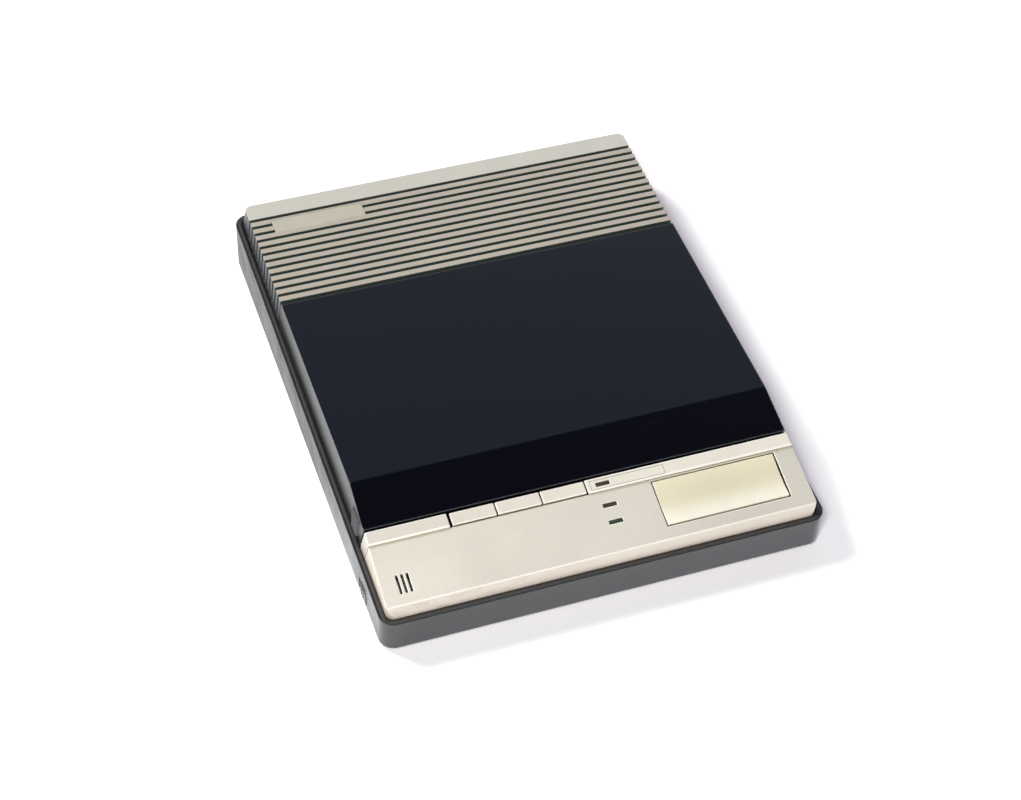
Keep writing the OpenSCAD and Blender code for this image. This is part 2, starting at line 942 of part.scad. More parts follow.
module tape_bay() {
    front = bend_y - 15;
    color([0.24, 0.24, 0.26])
    difference() {
        union() {
            box([-bay_half, front, bay_top - 1.6], [bay_half, louvre_face_y - 0.4, bay_top]);
            // wells of the cassettes
            for (side = [-1, 1])
                translate([side * cassette_x, deck_y, 0])
                    box([-cassette_w / 2 - 2, -cassette_d / 2 - 2, bay_low],
                        [cassette_w / 2 + 2, cassette_d / 2 + 2, bay_top - 1]);
            // posts that carry the chassis
            for (x = [-1, 1], y = [-32, 26])
                translate([x * 64, deck_y + y, chassis_top])
                    cylinder(r = 2.5, h = bay_top - 1 - chassis_top);
            hinge_ears();
        }
        for (side = [-1, 1])
            translate([side * cassette_x, deck_y, 0]) {
                box([-cassette_w / 2 - 0.4, -cassette_d / 2 - 0.4, well_floor],
                    [cassette_w / 2 + 0.4, cassette_d / 2 + 0.4, body_h]);
                // opening for the heads and the pinch roller
                box([-14, -cassette_d / 2 - 12.5, bay_low - 5], [10, -cassette_d / 2 + 6, body_h]);
                for (dx = [-1, 1])
                    translate([dx * hub_spacing / 2, hub_dy, 0])
                        disc(3.6, 0, body_h);
            }
    }
}

// ears that hold the hinge pins of the lid
module hinge_ears() {
    for (side = [-1, 1])
        difference() {
            union() {
                translate([side * hinge_x - lug_t / 2, hinge_y - 1.8, bay_top - eps])
                    cube([lug_t, 2.6, hinge_z - bay_top]);
                translate([side * hinge_x - lug_t / 2, hinge_y, hinge_z])
                    rotate([0, 90, 0])
                        cylinder(r = 1.8, h = lug_t);
            }
            translate([side * hinge_x - lug_t, hinge_y, hinge_z])
                rotate([0, 90, 0])
                    cylinder(r = hinge_pin_r, h = 2 * lug_t);
        }
}

module lid_hinge_pins() {
    length = 2 * lug_t + lug_gap;
    color([0.75, 0.75, 0.76])
    for (side = [-1, 1])
        translate([side * hinge_x + (side > 0 ? -lug_t / 2 : lug_t / 2 - length), hinge_y, hinge_z])
            rotate([0, 90, 0])
                cylinder(r = hinge_pin_r, h = length);
}

module cassette_lid() {
    round_r = 1.6;
    grip_rear = bend_y - 6.6;
    grip_front = bend_y - 15.4;
    color([0.08, 0.08, 0.10])
    difference() {
        union() {
            intersection() {
                difference() {
                    union() {
                        envelope(0);
                        grips(grip_front, grip_rear);
                    }
                    envelope(lid_t);
                }
                lid_outline(round_r);
                over_rim(0.5);
            }
            hinge_lugs();
        }
        // pockets over the ears
        for (side = [-1, 1])
            translate([side * hinge_x - lug_t / 2 - lug_gap, hinge_y, hinge_z])
                rotate([0, 90, 0])
                    cylinder(r = 2.15, h = lug_t + 2 * lug_gap);
        // running fit on the pins
        translate([-hinge_x - 2 * lug_t, hinge_y, hinge_z])
            rotate([0, 90, 0])
                cylinder(r = hinge_pin_r + run_fit, h = 2 * hinge_x + 4 * lug_t);
    }
}

// finger grips on the side skirts of the lid: teeth one under another, tapered at both ends
module grips(front, rear) {
    proud = 0.9;
    teeth = 5;
    pitch = 1.7;
    top_z = body_h - (bend_y - front) * tan(slope_deg) - 0.8;
    for (side = [0, 1])
        mirror([side, 0, 0])
            intersection() {
                translate([0, rear, 0])
                    rotate([90, 0, 0])
                        linear_extrude(rear - front)
                            polygon(concat([[skirt_x(top_z) - 1, top_z]],
                                [for (i = [0:teeth - 1]) for (low = [0, 1])
                                    tooth_point(top_z - i * pitch, pitch, proud, low)],
                                [[skirt_x(top_z - teeth * pitch) - 1, top_z - teeth * pitch]]));
                linear_extrude(body_h)
                    polygon([[0, front], [skirt_x(top_z), front],
                        [skirt_x(0) + proud, front + 3], [skirt_x(0) + proud, rear - 3],
                        [skirt_x(top_z), rear], [0, rear]]);
            }
}

// outside of the lid's skirt at a height
function skirt_x(z) = top_half_w + (body_h - z) * tan(side_draft);

// upper or lower corner of one grip tooth, which leans out towards its lower edge
function tooth_point(z, pitch, proud, low) = low == 0
    ? [skirt_x(z) + 0.1, z]
    : [skirt_x(z - pitch + 0.3) + proud, z - pitch + 0.3];

// reach of the lid from front to rear, with a round rear edge
module lid_outline(round_r) {
    translate([-big / 2, 0, 0])
        rotate([90, 0, 90])
            linear_extrude(big) {
                polygon([[lid_rear_y, 0], [lid_rear_y, body_h - round_r],
                    [lid_rear_y - round_r, body_h - round_r], [lid_rear_y - round_r, body_h],
                    [bend_y, body_h + 0.01],
                    [bend_y - lid_front_s * cos(slope_deg) - 1 * sin(slope_deg),
                    body_h - lid_front_s * sin(slope_deg) + 1 * cos(slope_deg)],
                    [bend_y - lid_front_s * cos(slope_deg) + 26 * sin(slope_deg),
                    body_h - lid_front_s * sin(slope_deg) - 26 * cos(slope_deg)]]);
                translate([lid_rear_y - round_r, body_h - round_r])
                    circle(round_r);
            }
}

module hinge_lugs() {
    for (side = [-1, 1]) {
        x0 = side * (hinge_x + lug_t / 2 + lug_gap) - (side > 0 ? 0 : lug_t);
        translate([x0, hinge_y, hinge_z]) {
            rotate([0, 90, 0])
                cylinder(r = 2.2, h = lug_t);
            translate([0, -2.2, 0])
                cube([lug_t, 4.4, 2]);
        }
    }
}

// block of the badge plate, grown by gap for its recess
module badge_block(gap) {
    box([-top_half_w + 8.2 - gap, last_groove_y - 8.85 - gap, body_h - 0.6],
        [-top_half_w + 45 + gap, last_groove_y - 1.65 + gap, body_h + gap]);
}

module badge_plate() {
    color([0.80, 0.79, 0.76])
    badge_block(0);
}

module deck_chassis() {
    color([0.72, 0.73, 0.74])
    difference() {
        box([-68, deck_y - 36, chassis_top - chassis_t], [68, deck_y + 29, chassis_top]);
        for (side = [-1, 1])
            translate([side * cassette_x, deck_y, 0]) {
                translate([capstan_dx, capstan_dy, 0])
                    disc(capstan_r + 1.2, 0, body_h);
                for (dx = [-1, 1])
                    translate([dx * hub_spacing / 2, hub_dy, 0])
                        disc(1.5 + run_fit, 0, body_h);
                translate([idler_dx, idler_dy, 0])
                    disc(0.8 + run_fit, 0, body_h);
            }
    }
}

// place in a deck, measured from the middle of its cassette
module at_deck(side, dx, dy) {
    translate([side * cassette_x + dx, deck_y + dy, 0])
        children();
}

module capstan_bushes() {
    color([0.75, 0.62, 0.30])
    for (side = [-1, 1])
        at_deck(side, capstan_dx, capstan_dy)
            tube(capstan_r + 1.2, capstan_r + run_fit, chassis_top - chassis_t - 0.5, chassis_top + 0.2);
}

module motor() {
    color([0.68, 0.69, 0.70])
    translate([motor_x, motor_y, 0])
        difference() {
            disc(motor_r, motor_low(), motor_low() + motor_h);
            disc(1 + run_fit, motor_low() + 1, body_h);
        }
}

belt_low = flywheel_top - 2;
belt_t = 1.2;
belt_h = 1;

module grooved_wheel(r, low, high) {
    difference() {
        disc(r, low, high);
        tube(r + 1, r - 1, belt_low - 0.3, belt_low + belt_h + 0.3);
    }
}

module motor_pulley() {
    color([0.75, 0.62, 0.30])
    translate([motor_x, motor_y, 0]) {
        grooved_wheel(pulley_r + 0.6, flywheel_top - flywheel_t, flywheel_top);
        disc(1, motor_low() + 1.2, flywheel_top - flywheel_t + eps);
    }
}

// outline that the belt follows, grown by grow
module belt_outline(grow) {
    hull() {
        for (side = [-1, 1])
            translate([side * cassette_x + capstan_dx, deck_y + capstan_dy])
                circle(flywheel_r - 1 + grow, $fn = 48);
        translate([motor_x, motor_y])
            circle(pulley_r - 0.4 + grow, $fn = 32);
    }
}

module drive_belt() {
    color([0.08, 0.08, 0.08])
    translate([0, 0, belt_low])
        linear_extrude(belt_h)
            difference() {
                belt_outline(0.3 + belt_t);
                belt_outline(0.3);
            }
}

module flywheel(side) {
    low = flywheel_top - flywheel_t;
    color([0.62, 0.63, 0.65])
    at_deck(side, capstan_dx, capstan_dy) {
        grooved_wheel(flywheel_r, low, flywheel_top);
        disc(capstan_r, low - 0.5, cassette_low + cassette_t - 1.5);
        disc(pinion_r, reel_low, reel_low + reel_t);
    }
}

module left_flywheel() {
    flywheel(-1);
}

module right_flywheel() {
    flywheel(1);
}

module idler(side) {
    color([0.1, 0.1, 0.1])
    at_deck(side, idler_dx, idler_dy) {
        disc(idler_r, reel_low, reel_low + reel_t);
        disc(0.8, chassis_top - chassis_t - 0.3, reel_low + eps);
    }
}

module left_idler() {
    idler(-1);
}

module right_idler() {
    idler(1);
}

// reel table with a splined spindle
module reel(side, dx) {
    color([0.85, 0.85, 0.82])
    at_deck(side, dx, hub_dy) {
        disc(reel_r, reel_low, reel_low + reel_t);
        disc(1.5, chassis_top - chassis_t - 0.4, reel_low + eps);
        disc(2.1, reel_low, cassette_low + cassette_t - 1.8);
        for (a = [0:120:240])
            rotate([0, 0, a])
                box([0, -0.4, well_floor + 1], [2.7, 0.4, cassette_low + cassette_t - 2.4]);
    }
}

module left_takeup_reel() {
    reel(-1, takeup_dx);
}

module right_takeup_reel() {
    reel(1, takeup_dx);
}

module left_supply_reel() {
    reel(-1, -takeup_dx);
}

module right_supply_reel() {
    reel(1, -takeup_dx);
}

module cassette(side) {
    wall = 1.1;
    high = cassette_low + cassette_t;
    color([0.30, 0.30, 0.33])
    translate([side * cassette_x, deck_y, 0])
        difference() {
            box([-cassette_w / 2, -cassette_d / 2, cassette_low], [cassette_w / 2, cassette_d / 2, high]);
            box([-cassette_w / 2 + wall, -cassette_d / 2 + wall, cassette_low + wall],
                [cassette_w / 2 - wall, cassette_d / 2 - wall, high - wall]);
            for (dx = [-1, 1])
                translate([dx * hub_spacing / 2, hub_dy, 0])
                    disc(3.6, 0, body_h);
            // mouth for the head and the pinch roller
            box([-13.5, -cassette_d / 2 - 1, cassette_low - 1], [9.5, -cassette_d / 2 + 6.2, high - wall]);
            translate([capstan_dx, capstan_dy, 0])
                disc(2, 0, high - wall);
        }
}

module left_cassette() {
    cassette(-1);
}

module right_cassette() {
    cassette(1);
}

// hub with its tape pack
module spool(side, dx, pack_r) {
    low = cassette_low + 1.5;
    color([0.25, 0.16, 0.12])
    at_deck(side, dx, hub_dy)
        tube(pack_r, 3.1, low, low + 5);
}

module left_takeup_spool() {
    spool(-1, takeup_dx, 6.5);
}

module right_takeup_spool() {
    spool(1, takeup_dx, 6.5);
}

module left_supply_spool() {
    spool(-1, -takeup_dx, 9.5);
}

module right_supply_spool() {
    spool(1, -takeup_dx, 9.5);
}

carriage_low = chassis_top + 0.2;
mouth_dy = -cassette_d / 2 - head_travel;
coil_rear_dy = -36;
coil_front_dy = coil_rear_dy - 12.5;
plunger_r = 1.5;
plunger_z = chassis_top - 4.5;

module head_carriage(side) {
    tab_dy = coil_front_dy - head_travel - 0.4;
    color([0.74, 0.75, 0.76])
    at_deck(side, 0, 0) {
        box([-13, mouth_dy - 9, carriage_low], [9, mouth_dy - 0.5, carriage_low + 1]);
        translate([capstan_dx, pinch_dy, carriage_low])
            cylinder(r = 0.8, h = cassette_low + 6.6 - carriage_low);
        box([-2.2, tab_dy - 1, carriage_low], [2.2, mouth_dy - 9 + eps, carriage_low + 1]);
        box([-2.2, tab_dy - 1, plunger_z - 2], [2.2, tab_dy, carriage_low + eps]);
        translate([0, tab_dy - eps, plunger_z])
            rotate([-90, 0, 0])
                cylinder(r = plunger_r, h = 9);
    }
}

module left_head_carriage() {
    head_carriage(-1);
}

module right_head_carriage() {
    head_carriage(1);
}

module head(side) {
    color([0.8, 0.8, 0.82])
    at_deck(side, 0, 0)
        box([-3, mouth_dy - 4, carriage_low + 1], [3, mouth_dy + 2.4, cassette_low + 6]);
}

module left_head() {
    head(-1);
}

module right_head() {
    head(1);
}

module pinch_roller(side) {
    color([0.1, 0.1, 0.1])
    at_deck(side, capstan_dx, pinch_dy)
        tube(pinch_r, 0.8 + run_fit, cassette_low + 1.6, cassette_low + 6.2);
}

module left_pinch_roller() {
    pinch_roller(-1);
}

module right_pinch_roller() {
    pinch_roller(1);
}

module solenoids() {
    color([0.72, 0.6, 0.3])
    for (side = [-1, 1])
        at_deck(side, 0, 0)
            difference() {
                box([-6, coil_front_dy, chassis_top - 8], [6, coil_rear_dy, chassis_top]);
                translate([0, coil_front_dy - 1, plunger_z])
                    rotate([-90, 0, 0])
                        cylinder(r = plunger_r + 0.15, h = 11);
            }
}

// ---- assembly ------------------------------------------------------------

base_tray();
tray_walls();
feet();
screws();
upper_housing();
key_strip();
front_panel();
cassette_lid();
lid_hinge_pins();
badge_plate();
memo_key();
rewind_key();
forward_key();
play_bar();
key_springs();
key_board();
message_led();
use_led();
power_led();
microphone();
volume_dial();
volume_control();
switch_knob();
switch_body();
line_jack();
phone_jack();
power_jack();
speaker_frame();
speaker_cone();
main_board();
processor();
line_transformer();
board_parts();
tape_bay();
deck_chassis();
capstan_bushes();
motor();
motor_pulley();
drive_belt();
left_flywheel();
right_flywheel();
left_idler();
right_idler();
left_takeup_reel();
right_takeup_reel();
left_supply_reel();
right_supply_reel();
left_cassette();
right_cassette();
left_takeup_spool();
right_takeup_spool();
left_supply_spool();
right_supply_spool();
left_head_carriage();
right_head_carriage();
left_head();
right_head();
left_pinch_roller();
right_pinch_roller();
solenoids();
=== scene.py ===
"""Looks of the slim answering machine: camera, light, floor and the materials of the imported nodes."""
import json
import math

import bmesh
import bpy
from mathutils import Matrix, Vector

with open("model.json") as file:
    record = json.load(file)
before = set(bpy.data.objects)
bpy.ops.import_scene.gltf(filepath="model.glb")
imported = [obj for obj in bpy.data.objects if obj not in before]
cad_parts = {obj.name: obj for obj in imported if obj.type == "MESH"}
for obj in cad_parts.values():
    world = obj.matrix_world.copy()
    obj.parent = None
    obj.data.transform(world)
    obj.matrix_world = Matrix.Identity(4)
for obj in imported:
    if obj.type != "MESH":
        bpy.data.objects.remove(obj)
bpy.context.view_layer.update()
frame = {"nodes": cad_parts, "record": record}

MM = 0.001


# ---- camera ---------------------------------------------------------------

CAMERA_AT = Vector((-213.2, -545.0, 631.4)) * MM
CAMERA_RIGHT = Vector((0.94538, -0.32374, 0.03805))
CAMERA_UP = Vector((0.21407, 0.70463, 0.67651))
LENS_MM, SENSOR_MM = 78.16, 36.0
CLIP_NEAR, CLIP_FAR = 0.01, 20.0    # metres


def add_camera():
    data = bpy.data.cameras.new("photo_camera")
    data.sensor_width = SENSOR_MM
    data.lens = LENS_MM
    data.clip_start, data.clip_end = CLIP_NEAR, CLIP_FAR
    camera = bpy.data.objects.new("photo_camera", data)
    right = CAMERA_RIGHT.normalized()
    back = right.cross(CAMERA_UP).normalized()
    up = back.cross(right)
    turn = Matrix((right, up, back)).transposed().to_4x4()
    camera.matrix_world = Matrix.Translation(CAMERA_AT) @ turn
    bpy.context.scene.collection.objects.link(camera)
    bpy.context.scene.camera = camera


# ---- light and floor ------------------------------------------------------

# height of a ray (0 at the horizon, 1 overhead) and the light that comes from there
SKY = ((0.0, (0.85, 0.86, 0.88)), (0.45, (0.70, 0.72, 0.76)), (0.66, (0.33, 0.37, 0.47)),
       (0.735, (0.28, 0.33, 0.44)), (0.80, (0.25, 0.29, 0.40)), (0.88, (0.09, 0.09, 0.13)),
       (0.95, (0.035, 0.035, 0.055)), (1.0, (0.035, 0.035, 0.055)))
BRIGHT_SIDE = (0.36, 0.93, 0.0)     # the paper sweeps up behind the object, the room is dim
DIM_SHARE = 0.16                    # light that is left on the dim side
DIM_FROM, DIM_TO = 0.50, 0.80       # cosine to the bright side, where the light rises to full
LAMPS = (  # name, place, size, power, colour
    ("key_rear_left", (-0.71, 0.65, 1.09), (0.28, 0.28), 14.0, (1.0, 0.985, 0.95)),
    ("key_front_left", (-0.50, -0.80, 1.10), (0.30, 0.30), 15.0, (1.0, 0.985, 0.95)),
)


def add_world():
    world = bpy.data.worlds.new("studio")
    bpy.context.scene.world = world
    world.use_nodes = True
    nodes, links = world.node_tree.nodes, world.node_tree.links
    nodes.clear()
    out = nodes.new("ShaderNodeOutputWorld")
    shade = nodes.new("ShaderNodeBackground")
    coord = nodes.new("ShaderNodeTexCoord")
    split = nodes.new("ShaderNodeSeparateXYZ")
    ramp = nodes.new("ShaderNodeValToRGB")
    while len(ramp.color_ramp.elements) < len(SKY):
        ramp.color_ramp.elements.new(0.5)
    for stop, (place, colour) in zip(ramp.color_ramp.elements, SKY):
        stop.position = place
        stop.color = (*colour, 1)
    links.new(coord.outputs["Generated"], split.inputs[0])
    links.new(split.outputs["Z"], ramp.inputs["Fac"])
    links.new(ramp.outputs["Color"], shade.inputs["Color"])
    level = nodes.new("ShaderNodeVectorMath")
    level.operation = "MULTIPLY"
    level.inputs[1].default_value = (1.0, 1.0, 0.0)
    links.new(coord.outputs["Generated"], level.inputs[0])
    compass = nodes.new("ShaderNodeVectorMath")
    compass.operation = "NORMALIZE"
    links.new(level.outputs[0], compass.inputs[0])
    towards = nodes.new("ShaderNodeVectorMath")
    towards.operation = "DOT_PRODUCT"
    towards.inputs[1].default_value = BRIGHT_SIDE
    links.new(compass.outputs[0], towards.inputs[0])
    dim = nodes.new("ShaderNodeMapRange")
    dim.interpolation_type = "SMOOTHSTEP"
    dim.inputs["From Min"].default_value = DIM_FROM
    dim.inputs["From Max"].default_value = DIM_TO
    dim.inputs["To Min"].default_value = DIM_SHARE
    dim.inputs["To Max"].default_value = 1.0
    links.new(towards.outputs["Value"], dim.inputs["Value"])
    links.new(dim.outputs["Result"], shade.inputs["Strength"])
    links.new(shade.outputs[0], out.inputs["Surface"])


def add_lights():
    for name, place, size, power, colour in LAMPS:
        data = bpy.data.lights.new(name, "AREA")
        data.shape = "RECTANGLE"
        data.size, data.size_y = size
        data.energy = power
        data.color = colour
        lamp = bpy.data.objects.new(name, data)
        lamp.location = place
        lamp.rotation_mode = "QUATERNION"
        lamp.rotation_quaternion = (-Vector(place)).to_track_quat("-Z", "Y")
        bpy.context.scene.collection.objects.link(lamp)


FLOOR_SEEN = (0.95, 0.975, 0.94)    # share of the light on the floor that the camera sees
GLOW_NEAR = (0.18, 0.145, 0.195)    # white added for the camera round the object
GLOW_FAR = (0.70, 0.70, 0.70)       # and further off
GLOW_FROM, GLOW_TO = 0.150, 0.260   # metres from the middle
FLOOR_MIRROR = (0.95, 0.99, 1.06)   # white added for mirror rays
FLOOR_WHITE = (0.85, 0.845, 0.85)
FLOOR_HALF = 3.0                    # metres


def add_floor():
    bm = bmesh.new()
    corners = ((-1, -1), (1, -1), (1, 1), (-1, 1))
    bm.faces.new([bm.verts.new((x * FLOOR_HALF, y * FLOOR_HALF, 0.0)) for x, y in corners])
    mesh = bpy.data.meshes.new("floor")
    bm.to_mesh(mesh)
    bm.free()
    floor = bpy.data.objects.new("floor", mesh)
    bpy.context.scene.collection.objects.link(floor)
    material = bpy.data.materials.new("floor_white")
    material.use_nodes = True
    nodes, links = material.node_tree.nodes, material.node_tree.links
    nodes.clear()
    out = nodes.new("ShaderNodeOutputMaterial")
    path = nodes.new("ShaderNodeLightPath")
    coord = nodes.new("ShaderNodeTexCoord")
    reach = nodes.new("ShaderNodeVectorMath")
    reach.operation = "LENGTH"
    links.new(coord.outputs["Object"], reach.inputs[0])
    apart = nodes.new("ShaderNodeMapRange")
    apart.interpolation_type = "SMOOTHSTEP"
    apart.inputs["From Min"].default_value = GLOW_FROM
    apart.inputs["From Max"].default_value = GLOW_TO
    links.new(reach.outputs["Value"], apart.inputs["Value"])
    glow_mix = nodes.new("ShaderNodeMix")
    glow_mix.data_type = "RGBA"
    links.new(apart.outputs["Result"], glow_mix.inputs[0])
    glow_mix.inputs[6].default_value = (*GLOW_NEAR, 1)
    glow_mix.inputs[7].default_value = (*GLOW_FAR, 1)

    def paper(albedo, glow):
        diffuse = nodes.new("ShaderNodeBsdfDiffuse")
        diffuse.inputs["Color"].default_value = (*albedo, 1)
        light = nodes.new("ShaderNodeEmission")
        if isinstance(glow, bpy.types.NodeSocket):
            links.new(glow, light.inputs["Color"])
        else:
            light.inputs["Color"].default_value = (*glow, 1)
        both = nodes.new("ShaderNodeAddShader")
        links.new(diffuse.outputs[0], both.inputs[0])
        links.new(light.outputs[0], both.inputs[1])
        return both.outputs[0]

    def choose(switch, off, on):
        mix = nodes.new("ShaderNodeMixShader")
        links.new(path.outputs[switch], mix.inputs[0])
        links.new(off, mix.inputs[1])
        links.new(on, mix.inputs[2])
        return mix.outputs[0]

    seen = paper(FLOOR_SEEN, glow_mix.outputs[2])
    bounced = choose("Is Glossy Ray", paper(FLOOR_WHITE, (0, 0, 0)), paper(FLOOR_WHITE, FLOOR_MIRROR))
    surface = choose("Is Camera Ray", choose("Is Transmission Ray", bounced, seen), seen)
    links.new(surface, out.inputs["Surface"])
    floor.data.materials.append(material)


# ---- materials ------------------------------------------------------------

SLOPE = math.radians(13.69)         # tilt of the front panel
BEND_Y, TOP_Z = -51.2, 31.6         # where the slope starts, mm
STRIP_FRONT = 26.03                 # front of the key strip along the slope, mm
PANEL_FRONT = 50.43                 # front of the slope, mm
NOISE_SPAN = (0.3, 0.7)             # where most values of a noise lie
EDGE_DOT = (0.998, 0.965)           # cosine between a face's normal and its rounded normal


class Look:
    """One procedural material; positions are in millimetres of the piece's own frame."""

    def __init__(self, name):
        self.material = bpy.data.materials.new(name)
        self.material.use_nodes = True
        self.nodes = self.material.node_tree.nodes
        self.links = self.material.node_tree.links
        self.shader = self.nodes["Principled BSDF"]
        coord = self.nodes.new("ShaderNodeTexCoord")
        scaled = self.nodes.new("ShaderNodeVectorMath")
        scaled.operation = "SCALE"
        scaled.inputs["Scale"].default_value = 1000.0
        self.links.new(coord.outputs["Object"], scaled.inputs[0])
        self.place = scaled.outputs[0]
        split = self.nodes.new("ShaderNodeSeparateXYZ")
        self.links.new(self.place, split.inputs[0])
        self.x, self.y, self.z = split.outputs
        facing = self.nodes.new("ShaderNodeSeparateXYZ")
        self.links.new(coord.outputs["Normal"], facing.inputs[0])
        self.nx, self.ny, self.nz = facing.outputs

    def slope(self):
        """Distance down the slope from its bend, and height over it, in mm."""
        ahead = self.math("SUBTRACT", BEND_Y, self.y)
        down = self.math("SUBTRACT", TOP_Z, self.z)
        along = self.math("ADD", self.times(ahead, math.cos(SLOPE)), self.times(down, math.sin(SLOPE)))
        over = self.math("SUBTRACT", self.times(ahead, math.sin(SLOPE)), self.times(down, math.cos(SLOPE)))
        return along, over

    def feed(self, socket, value):
        if isinstance(value, bpy.types.NodeSocket):
            self.links.new(value, socket)
        elif isinstance(value, (tuple, list)) and len(value) == 3 and socket.type == "RGBA":
            socket.default_value = (*value, 1)
        else:
            socket.default_value = value

    def put(self, **inputs):
        for name, value in inputs.items():
            self.feed(self.shader.inputs[name.replace("_", " ")], value)

    def math(self, operation, a, b=0.0):
        made = self.nodes.new("ShaderNodeMath")
        made.operation = operation
        self.feed(made.inputs[0], a)
        self.feed(made.inputs[1], b)
        return made.outputs[0]

    def times(self, *values):
        result = values[0]
        for value in values[1:]:
            result = self.math("MULTIPLY", result, value)
        return result

    def noise(self, size, detail=2.0, rough=0.5, stretch=None):
        made = self.nodes.new("ShaderNodeTexNoise")
        made.inputs["Scale"].default_value = 1.0 / size
        made.inputs["Detail"].default_value = detail
        made.inputs["Roughness"].default_value = rough
        vector = self.place
        if stretch:
            warp = self.nodes.new("ShaderNodeVectorMath")
            warp.operation = "MULTIPLY"
            warp.inputs[1].default_value = stretch
            self.links.new(vector, warp.inputs[0])
            vector = warp.outputs[0]
        self.links.new(vector, made.inputs["Vector"])
        return made.outputs["Fac"]

    def specks(self, size, share):
        """Small dots: 1 in the middle of about that share of cells."""
        made = self.nodes.new("ShaderNodeTexVoronoi")
        made.inputs["Scale"].default_value = 1.0 / size
        self.links.new(self.place, made.inputs["Vector"])
        hit = self.rise(made.outputs["Distance"], 0.10, 0.04)
        split = self.nodes.new("ShaderNodeSeparateXYZ")
        self.links.new(made.outputs["Color"], split.inputs[0])
        return self.times(hit, self.math("LESS_THAN", split.outputs[0], share))

    def rise(self, value, start, end, low=0.0, high=1.0):
        made = self.nodes.new("ShaderNodeMapRange")
        made.interpolation_type = "SMOOTHSTEP"
        self.feed(made.inputs["Value"], value)
        made.inputs["From Min"].default_value = start
        made.inputs["From Max"].default_value = end
        made.inputs["To Min"].default_value = low
        made.inputs["To Max"].default_value = high
        return made.outputs["Result"]

    def span(self, value, start, end, soft):
        """1 between start and end, with soft ends."""
        return self.times(self.rise(value, start - soft, start + soft),
                          self.rise(value, end + soft, end - soft))

    def mix(self, share, a, b):
        made = self.nodes.new("ShaderNodeMix")
        made.data_type = "RGBA"
        self.feed(made.inputs[0], share)
        self.feed(made.inputs[6], a)
        self.feed(made.inputs[7], b)
        return made.outputs[2]

    def shade(self, colour, factor):
        """Colour made lighter or darker by a factor socket."""
        made = self.nodes.new("ShaderNodeVectorMath")
        made.operation = "SCALE"
        if isinstance(colour, bpy.types.NodeSocket):
            self.links.new(colour, made.inputs[0])
        else:
            made.inputs[0].default_value = colour
        self.feed(made.inputs["Scale"], factor)
        return made.outputs[0]

    def round_edges(self, radius):
        """Rounded normals near the edges and a mask that is 1 on them."""
        made = self.nodes.new("ShaderNodeBevel")
        made.samples = 6
        made.inputs["Radius"].default_value = radius * MM
        flat = self.nodes.new("ShaderNodeNewGeometry")
        dot = self.nodes.new("ShaderNodeVectorMath")
        dot.operation = "DOT_PRODUCT"
        self.links.new(made.outputs[0], dot.inputs[0])
        self.links.new(flat.outputs["Normal"], dot.inputs[1])
        return made.outputs[0], self.rise(dot.outputs["Value"], *EDGE_DOT)

    def bump(self, height, depth, normal=None):
        made = self.nodes.new("ShaderNodeBump")
        made.inputs["Strength"].default_value = 1.0
        made.inputs["Distance"].default_value = depth * MM
        self.links.new(height, made.inputs["Height"])
        if normal is not None:
            self.links.new(normal, made.inputs["Normal"])
        return made.outputs["Normal"]


def grained(name, colour, roughness=0.5, metallic=0.0, grain=0.004, grain_size=0.25, tone=0.06,
            tone_size=14.0, edge=0.25, edge_tone=1.15):
    """Moulded or metal surface with fine grain, slow change of tone and slightly lighter edges, as wear
    and painted highlight.
    """
    look = Look(name)
    normal, edge_band = look.round_edges(edge)
    slow = look.rise(look.noise(tone_size, 4.0, 0.6), *NOISE_SPAN, 1.0 - tone, 1.0 + tone)
    # edges made lighter: partly wear, partly painted highlight
    wear_and_highlight = look.math("ADD", 1.0, look.times(edge_band, edge_tone - 1.0))
    uneven = look.rise(look.noise(tone_size * 0.4, 3.0), *NOISE_SPAN, roughness * 0.88, roughness * 1.12)
    look.put(Base_Color=look.shade(colour, look.times(slow, wear_and_highlight)), Metallic=metallic, Roughness=uneven,
             Normal=look.bump(look.noise(grain_size, 2.0), grain, normal))
    return look.material


TRAY_DARK = (0.022, 0.022, 0.024)
TRAY_DUST = (0.046, 0.044, 0.045)
TRAY_FLUFF = (0.14, 0.12, 0.10)
# painted shade in the gap between the rim and the housing
RIM_GAP_SHADE = (0.016, 0.010, 0.006)
# painted dark reflection on the rounded arris of the tray
PAINTED_ARRIS_REFLECTION = (0.004, 0.004, 0.005)
TRAY_ROUGHNESS = (0.27, 0.36)
RIM_OUT_X, RIM_OUT_Y = 84.1, 104.4  # outside of the tray, mm
RIM_GAP_SHADE_OUT = (-1.5, -1.8)            # where the painted shade inside the rim starts and is full, mm past that outside
LINE_OUT = (-0.95, -0.75)
ARRIS_OUT = (-1.3, -1.0)
LINE_X = (-82.5, -82.9)             # the painted dark reflection line is on the left rim only
ARRIS_Z = (13.0, 14.5)              # and the painted dark reflection on the arris along the top of the walls only
LEFT_WALL_Y = (-100.0, 20.0)        # the left wall turns matt along this stretch


